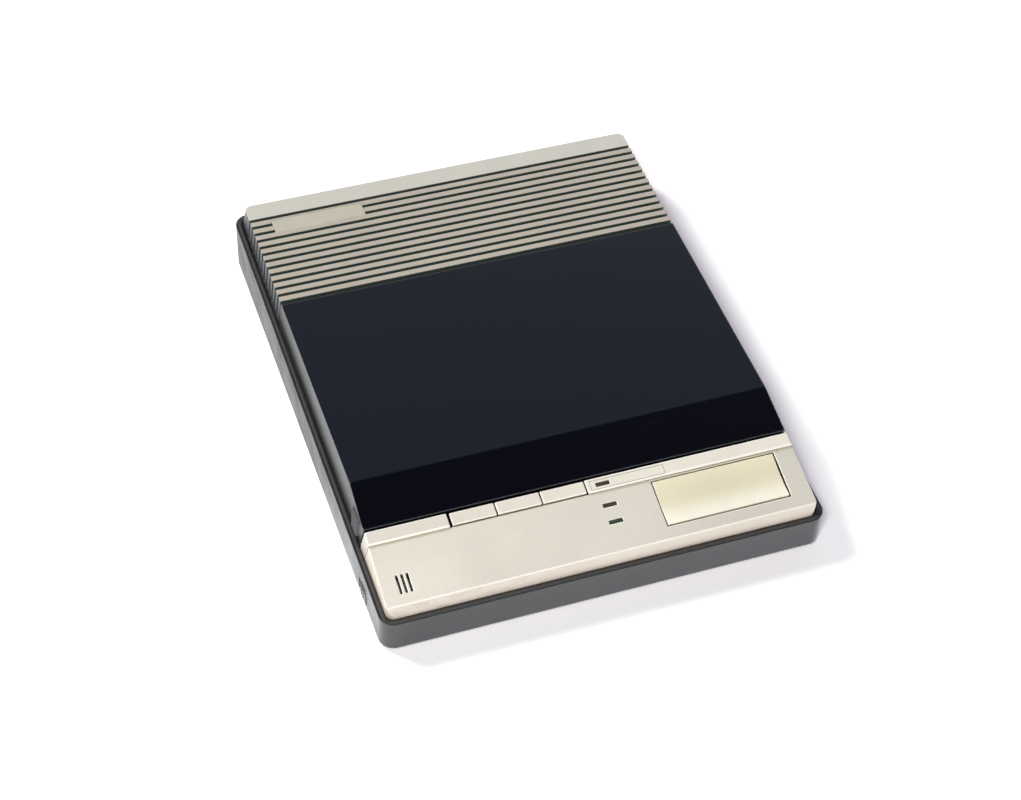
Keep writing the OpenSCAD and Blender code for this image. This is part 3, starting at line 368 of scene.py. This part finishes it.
def tray_plastic():
    """Bare dark plastic, dusty where it faces up, with painted shade in the gap inside the rim and a
    painted dark reflection on the arrises.
    """
    look = Look("charcoal")
    normal, edge = look.round_edges(1.0)
    slow = look.rise(look.noise(22.0, 4.0, 0.6), *NOISE_SPAN, 0.88, 1.12)
    upwards = look.rise(look.nz, 0.6, 0.95)
    level = look.times(upwards, look.math("SUBTRACT", 1.0, edge))
    dust = look.times(level, look.rise(look.noise(1.6, 5.0, 0.7), 0.25, 0.75, 0.55, 1.0))
    fluff = look.times(look.specks(2.4, 0.16), look.rise(look.nz, -0.2, 0.6, 0.25, 0.8))
    colour = look.mix(dust, look.shade(TRAY_DARK, slow), TRAY_DUST)
    colour = look.mix(look.times(fluff, 0.6), colour, TRAY_FLUFF)
    outwards = look.math("MAXIMUM", look.math("SUBTRACT", look.math("ABSOLUTE", look.x), RIM_OUT_X),
                         look.math("SUBTRACT", look.math("ABSOLUTE", look.y), RIM_OUT_Y))
    # painted shade: the upward faces inside the rim, next to the housing, are made near black
    colour = look.mix(look.times(level, look.rise(outwards, *RIM_GAP_SHADE_OUT)), colour, RIM_GAP_SHADE)
    # painted dark reflection: the arris along the top of the walls and a line on the left rim are made
    # near black
    rim_reflection_line = look.times(upwards, look.rise(outwards, *LINE_OUT), look.rise(look.x, *LINE_X))
    arris = look.times(edge, look.rise(outwards, *ARRIS_OUT), look.rise(look.z, *ARRIS_Z))
    arris = look.math("MAXIMUM", arris, rim_reflection_line)
    colour = look.mix(arris, colour, PAINTED_ARRIS_REFLECTION)
    left = look.rise(look.nx, -0.7, -0.95)
    rearwards = look.rise(look.y, *LEFT_WALL_Y)
    rubbed = look.rise(look.noise(6.0, 5.0, 0.65, (0.25, 0.25, 1.0)), 0.45, 0.8)
    uneven = look.rise(look.noise(9.0, 3.0), *NOISE_SPAN, *TRAY_ROUGHNESS)
    roughness = look.math("ADD", uneven, look.times(rubbed, 0.06))
    roughness = look.math("ADD", roughness, look.times(dust, 0.3))
    matt = look.math("MAXIMUM", look.times(left, look.rise(rearwards, 0.0, 1.0, 0.02, 0.20)),
                     look.times(arris, 0.35))
    roughness = look.math("ADD", roughness, matt)
    look.put(Base_Color=colour, Roughness=roughness,
             Normal=look.bump(look.noise(0.35, 3.0), 0.006, normal))
    return look.material


SILVER_REAR = (0.61, 0.59, 0.52)
SILVER_RIBS = (0.485, 0.435, 0.365)
GROOVE_DARK = (0.045, 0.066, 0.060)
RIB_SIDE = (0.042, 0.036, 0.043)
LOUVRE_DIRT = (0.16, 0.13, 0.09)
PAINT_Z = (31.30, 31.45)            # the silver is only above this, mm
RIBS_Y = (91.2, 90.9)               # where the rear strip ends and the ribs start, mm
HOUSING_X = (-85.0, 85.0)


def flakes(look, amount):
    """Light and dark of metal flakes, with a slow change of tone."""
    fine = look.rise(look.noise(0.16, 2.0, 0.8), 0.25, 0.75, 1.0 - amount, 1.0 + amount)
    wide = look.rise(look.noise(0.7, 3.0, 0.6), *NOISE_SPAN, 1.0 - amount * 0.7, 1.0 + amount * 0.7)
    slow = look.rise(look.noise(30.0, 3.0, 0.6), *NOISE_SPAN, 0.965, 1.035)
    return look.times(fine, wide, slow)


def louvre_paint():
    """Silver on the top faces only; the grooves and the sides stay bare dark plastic."""
    look = Look("silver_top")
    normal, _ = look.round_edges(0.22)
    top = look.rise(look.z, *PAINT_Z)
    bare = look.mix(look.rise(look.math("ABSOLUTE", look.nx), 0.5, 0.8), GROOVE_DARK, RIB_SIDE)
    ribs = look.mix(look.rise(look.y, *RIBS_Y), SILVER_REAR, SILVER_RIBS)
    across = look.rise(look.x, *HOUSING_X, 0.97, 1.06)
    paint = look.shade(ribs, look.times(flakes(look, 0.05), across))
    dirt = look.times(look.specks(3.2, 0.05), 0.5)
    paint = look.mix(dirt, paint, LOUVRE_DIRT)
    look.put(Base_Color=look.mix(top, bare, paint), Metallic=look.times(top, 0.25),
             Roughness=look.rise(top, 0.0, 1.0, 0.45, 0.42),
             Normal=look.bump(look.noise(0.25, 2.0), 0.004, normal))
    return look.material


# paler than SILVER_REAR partly as a different paint and partly as painted light on the front slope
SILVER_FRONT = (0.706, 0.669, 0.591)
EDGE_HIGHLIGHT = (1.0, 0.98, 0.92)
SEAM_HIGHLIGHT = (0.80, 0.72, 0.52)
# painted shade for faces of steps that look to the front
STEP_SHADE = (0.40, 0.35, 0.22)
# painted shade for walls down in gaps
GAP_SHADE = (0.016, 0.015, 0.010)
# painted shade for the sides of the play bar
SHADED_BAR_SIDE = (0.22, 0.18, 0.08)
GAP_SHADE_OLIVE = (0.085, 0.072, 0.034)
SIDE_WARM = (0.84, 0.76, 0.66)
STAIN = (0.50, 0.38, 0.24)
INK = (0.17, 0.15, 0.12)
WARM_SPECKS = (0.30, 0.24, 0.16)
PAINT_X = (-80.0, 80.0)             # the tone changes along this stretch, mm
PANEL_SHINE = (1.04, 0.94)          # tone at its two ends
STRIP_SHINE = (1.01, 1.20)
MIDDLE_X = (79.0, 78.0)             # past this are the outer ends of strip and panel, mm
FRAME_X = (2.8, 31.1)               # printed frame, mm across and along the slope
FRAME_S = (21.5, 25.1)
FRAME_LINE, FRAME_SOFT = 0.11, 0.03  # half the line's width, and its soft edge


def outline(look, along):
    """Thin printed frame round the message lamp, on the right block of the strip."""
    def inside(grow):
        across = look.span(look.x, FRAME_X[0] - grow, FRAME_X[1] + grow, FRAME_SOFT)
        return look.times(across, look.span(along, FRAME_S[0] - grow, FRAME_S[1] + grow, FRAME_SOFT))
    return look.math("SUBTRACT", inside(FRAME_LINE), inside(-FRAME_LINE))


def front_paint(name, tone=1.0, panel_stains_and_light=False, printed=False):
    """Pale champagne paint with metal flakes, painted highlights on edges and creases, painted shade on
    steps, seams and gaps, and warm stains.
    """
    look = Look(name)
    normal, edge = look.round_edges(0.6)
    along, over = look.slope()
    shine = look.rise(look.x, *PAINT_X, *(PANEL_SHINE if panel_stains_and_light else STRIP_SHINE))
    colour = look.shade(SILVER_FRONT, look.times(flakes(look, 0.035), shine, tone))
    # painted highlight on all rounded edges
    colour = look.mix(edge, colour, EDGE_HIGHLIGHT)
    front_face = look.rise(look.ny, -0.75, -0.92)
    # the panel gets real stains and also painted light: highlights on its creases and shade in its gaps
    if panel_stains_and_light:
        side = look.math("SUBTRACT", 1.0, look.rise(look.nz, 0.80, 0.93))
        left = look.rise(look.x, 10.0, -60.0)
        patchy = look.rise(look.noise(2.2, 5.0, 0.7, (0.35, 1.0, 1.0)), 0.42, 0.70)
        colour = look.mix(side, colour, look.mix(edge, SIDE_WARM, EDGE_HIGHLIGHT))
        colour = look.mix(look.times(side, left, patchy, 0.28), colour, STAIN)
        # painted highlight: a pale line on the rear edge of the panel, in front of the key strip
        colour = look.mix(look.rise(along, STRIP_FRONT + 0.35, STRIP_FRONT + 0.15), colour, SEAM_HIGHLIGHT)
        # painted highlight on the crease at the top of the front bevel
        crease_highlight = look.times(look.rise(along, PANEL_FRONT - 0.60, PANEL_FRONT - 0.30),
                            look.rise(over, -0.3, -0.1))
        colour = look.mix(crease_highlight, colour, EDGE_HIGHLIGHT)
        # painted shade on the sunken walls of the panel: olive, with the step colour on faces to the front
        inner_shade = look.times(look.rise(over, -0.15, -0.45), look.rise(along, 49.4, 49.0),
                           look.rise(look.math("ABSOLUTE", look.x), *MIDDLE_X))
        colour = look.mix(inner_shade, colour, look.mix(front_face, GAP_SHADE_OLIVE, STEP_SHADE))
    else:
        # painted highlight on the front top edge of the key strip
        brow_highlight = look.times(look.rise(along, STRIP_FRONT - 0.95, STRIP_FRONT - 0.70),
                          look.rise(over, 0.45, 0.6))
        colour = look.mix(brow_highlight, colour, EDGE_HIGHLIGHT)
        # painted shade on the front step of the key strip
        step_shade = look.times(front_face, look.rise(over, 0.50, 0.40))
        colour = look.mix(step_shade, colour, STEP_SHADE)
        # painted shade on the rear faces of the strip, in the gap behind the lid
        rear_face = look.rise(look.ny, 0.75, 0.92)
        colour = look.mix(rear_face, colour, GAP_SHADE)
        # painted shade on the side walls and the sunken faces in the middle
        middle = look.rise(look.math("ABSOLUTE", look.x), *MIDDLE_X)
        side_face = look.times(look.rise(look.math("ABSOLUTE", look.nx), 0.9, 0.98),
                               look.rise(over, 0.45, 0.25))
        hidden_shade = look.times(middle, look.math("MAXIMUM", side_face, look.rise(over, -0.5, -0.9)))
        colour = look.mix(hidden_shade, colour, GAP_SHADE)
        if printed:
            colour = look.mix(look.times(outline(look, along), 0.75), colour, INK)
    # painted shade in the seam between strip and panel on the side faces
    flank = look.rise(look.math("ABSOLUTE", look.nx), 0.5, 0.8)
    seam = look.span(along, STRIP_FRONT - 0.15, STRIP_FRONT + 0.15, 0.06)
    colour = look.mix(look.times(flank, seam), colour, GAP_SHADE)
    colour = look.mix(look.times(look.specks(2.6, 0.06), 0.35), colour, WARM_SPECKS)
    look.put(Base_Color=colour, Metallic=0.12,
             Roughness=look.rise(look.noise(12.0, 3.0), *NOISE_SPAN, 0.38, 0.46),
             Normal=look.bump(look.noise(0.22, 2.0), 0.004, normal))
    return look.material


LID_BLACK = (0.0020, 0.0022, 0.0042)
LID_DUST = (0.10, 0.10, 0.11)
LIP_HIGHLIGHT = (0.085, 0.088, 0.098)
LIP_S = (18.0, 18.5)                # the painted highlight on the front lip of the lid starts here along the slope, mm


def lid_gloss():
    """Glossy black with uneven polish, dust, faint rubs and a painted highlight on the front lip; its
    skirt is duller.
    """
    look = Look("lid_black")
    normal, edge = look.round_edges(0.8)
    along, _ = look.slope()
    skirt = look.rise(look.math("ABSOLUTE", look.nx), 0.6, 0.9)
    lip = look.times(edge, look.rise(along, *LIP_S))
    haze = look.rise(look.noise(24.0, 5.0, 0.6), 0.35, 0.75)
    dust = look.times(look.specks(2.2, 0.035), look.rise(look.noise(9.0, 2.0), 0.45, 0.6))
    rubs = look.times(look.rise(look.noise(3.0, 6.0, 0.75, (0.2, 1.0, 1.0)), 0.66, 0.74), 0.10)
    colour = look.mix(look.math("MAXIMUM", look.times(dust, 0.55), rubs), LID_BLACK, LID_DUST)
    # painted highlight along the rounded front lip
    colour = look.mix(lip, colour, LIP_HIGHLIGHT)
    polish = look.math("ADD", look.times(haze, 0.05), look.math("ADD", 0.05, look.times(skirt, 0.30)))
    look.put(Base_Color=colour, Roughness=polish,
             Normal=look.bump(look.noise(1.8, 2.0), 0.0006, normal))
    return look.material


BAR_REAR = (0.88, 0.81, 0.60)
# painted shade across the middle of the dished top
SHADED_BAR_MIDDLE = (0.80, 0.74, 0.55)
# painted light at the front of the dished top
LIT_BAR_FRONT = (0.96, 0.91, 0.77)
BAR_HIGHLIGHT = (0.97, 0.94, 0.78)


def bar_paint():
    """Gold paint with painted shading of its dished top, darker across the middle and lit cream at the
    front, painted highlights on the edges and painted shade on the olive sides.
    """
    look = Look("bar_gold")
    normal, edge = look.round_edges(0.5)
    along, over = look.slope()
    # painted shading of the dish: gold at the rear, darker across the middle, lit cream at the front
    colour = look.mix(look.rise(along, 27.0, 34.0), BAR_REAR, SHADED_BAR_MIDDLE)
    colour = look.mix(look.rise(along, 35.0, 44.0), colour, LIT_BAR_FRONT)
    colour = look.shade(colour, flakes(look, 0.03))
    # painted highlight on the rounded edges of the bar
    colour = look.mix(look.times(edge, 0.6), colour, BAR_HIGHLIGHT)
    # painted shade on the sides of the bar, down in its gap
    colour = look.mix(look.rise(over, -0.6, -1.2), colour, SHADED_BAR_SIDE)
    look.put(Base_Color=colour, Metallic=0.12,
             Roughness=look.rise(look.noise(8.0, 3.0), *NOISE_SPAN, 0.30, 0.36),
             Normal=look.bump(look.noise(0.2, 2.0), 0.003, normal))
    return look.material


def lens(name, colour):
    """Window of a lamp that is off."""
    look = Look(name)
    normal, _ = look.round_edges(0.2)
    cloudy = look.rise(look.noise(0.8, 3.0), *NOISE_SPAN, 0.8, 1.2)
    look.put(Base_Color=look.shade(colour, cloudy), Roughness=0.28, Coat_Weight=0.4,
             Normal=look.bump(look.noise(0.5, 2.0), 0.002, normal))
    return look.material


def make_materials():
    return {
        "charcoal": tray_plastic(),
        "silver": front_paint("silver"),
        "lid_black": lid_gloss(),
        "bar_gold": bar_paint(),
        "badge": grained("badge", (0.58, 0.54, 0.43), 0.35, 0.35, grain=0.003, tone=0.03, edge_tone=1.3),
        "red_lens": lens("red_lens", (0.072, 0.041, 0.034)),
        "green_lens": lens("green_lens", (0.040, 0.060, 0.040)),
        "black": grained("black", (0.012, 0.012, 0.012), 0.5),
        "rubber": grained("rubber", (0.015, 0.015, 0.015), 0.75, grain=0.01),
        "steel": grained("steel", (0.58, 0.58, 0.59), 0.3, 1.0, grain=0.002, tone=0.04),
        "brass": grained("brass", (0.70, 0.52, 0.22), 0.28, 1.0, grain=0.002, tone=0.05),
        "board": grained("board", (0.02, 0.11, 0.04), 0.4, grain=0.004, tone=0.1),
        "phenolic": grained("phenolic", (0.30, 0.17, 0.07), 0.5, grain=0.004, tone=0.1),
        "dark_grey": grained("dark_grey", (0.035, 0.035, 0.04), 0.45, grain=0.006),
        "cassette": grained("cassette", (0.045, 0.045, 0.05), 0.25, grain=0.001, tone=0.05),
        "tape": grained("tape", (0.05, 0.025, 0.015), 0.3, tone=0.15, tone_size=1.0),
        "white_plastic": grained("white_plastic", (0.72, 0.71, 0.66), 0.4, tone=0.02),
        "blue": grained("blue", (0.03, 0.05, 0.20), 0.3, tone=0.05),
        "paper": grained("paper", (0.02, 0.02, 0.02), 0.9, grain=0.02, tone=0.2),
    }


# ---- carried-over pieces --------------------------------------------------

SMOOTH_UNDER = math.radians(12)
FLAT_UNDER = math.radians(0.3)      # faces that meet at less are joined before the bevel
BEVEL_OVER = math.radians(25)
WELD_WITHIN = 1e-6                  # metres
# rounded edges of the small pieces on top, mm
BEVELS = {"memo_key": 0.3, "rewind_key": 0.3, "forward_key": 0.3, "play_bar": 0.35, "badge_plate": 0.12,
          "message_led": 0.12, "use_led": 0.12, "power_led": 0.12}


def smooth_group():
    """Node group that shades smooth except over sharp edges."""
    group = bpy.data.node_groups.new("smooth_by_angle", "GeometryNodeTree")
    group.interface.new_socket("Geometry", in_out="INPUT", socket_type="NodeSocketGeometry")
    group.interface.new_socket("Geometry", in_out="OUTPUT", socket_type="NodeSocketGeometry")
    source = group.nodes.new("NodeGroupInput")
    result = group.nodes.new("NodeGroupOutput")
    faces = group.nodes.new("GeometryNodeSetShadeSmooth")
    edges = group.nodes.new("GeometryNodeSetShadeSmooth")
    edges.domain = "EDGE"
    edges.inputs["Shade Smooth"].default_value = False
    angle = group.nodes.new("GeometryNodeInputMeshEdgeAngle")
    sharp = group.nodes.new("FunctionNodeCompare")
    sharp.data_type = "FLOAT"
    sharp.operation = "GREATER_THAN"
    sharp.inputs[1].default_value = SMOOTH_UNDER
    group.links.new(source.outputs[0], faces.inputs["Geometry"])
    group.links.new(faces.outputs[0], edges.inputs["Geometry"])
    group.links.new(angle.outputs["Unsigned Angle"], sharp.inputs[0])
    group.links.new(sharp.outputs[0], edges.inputs["Selection"])
    group.links.new(edges.outputs[0], result.inputs[0])
    return group


def dress_cad_nodes(materials, special):
    group = smooth_group()
    slot_of = {s["node"]: s["material_slot"] for s in frame["record"]["subparts"]}
    for name, obj in frame["nodes"].items():
        obj.data.materials.clear()
        obj.data.materials.append(special.get(name) or materials[slot_of[name]])
        weld = obj.modifiers.new("weld", "WELD")
        weld.merge_threshold = WELD_WITHIN
        if name in BEVELS:
            clean = obj.modifiers.new("clean", "DECIMATE")
            clean.decimate_type = "DISSOLVE"
            clean.angle_limit = FLAT_UNDER
            soft = obj.modifiers.new("edge", "BEVEL")
            soft.width = BEVELS[name] * MM
            soft.segments = 3
            soft.limit_method = "ANGLE"
            soft.angle_limit = BEVEL_OVER
            soft.miter_outer = "MITER_ARC"
        smooth = obj.modifiers.new("smooth", "NODES")
        smooth.node_group = group


materials = make_materials()
special = {
    "upper_housing": louvre_paint(),
    "front_panel": front_paint("panel_silver", panel_stains_and_light=True),
    "key_strip": front_paint("strip_silver", 0.99, printed=True),
    # lighter grey than the dark plastic: painted light against the shade of the dial's pocket
    "volume_dial": grained("dial", (0.10, 0.10, 0.105), 0.35),
}
add_camera()
add_world()
add_floor()
add_lights()
dress_cad_nodes(materials, special)

view = bpy.context.scene.view_settings
view.view_transform = "Standard"
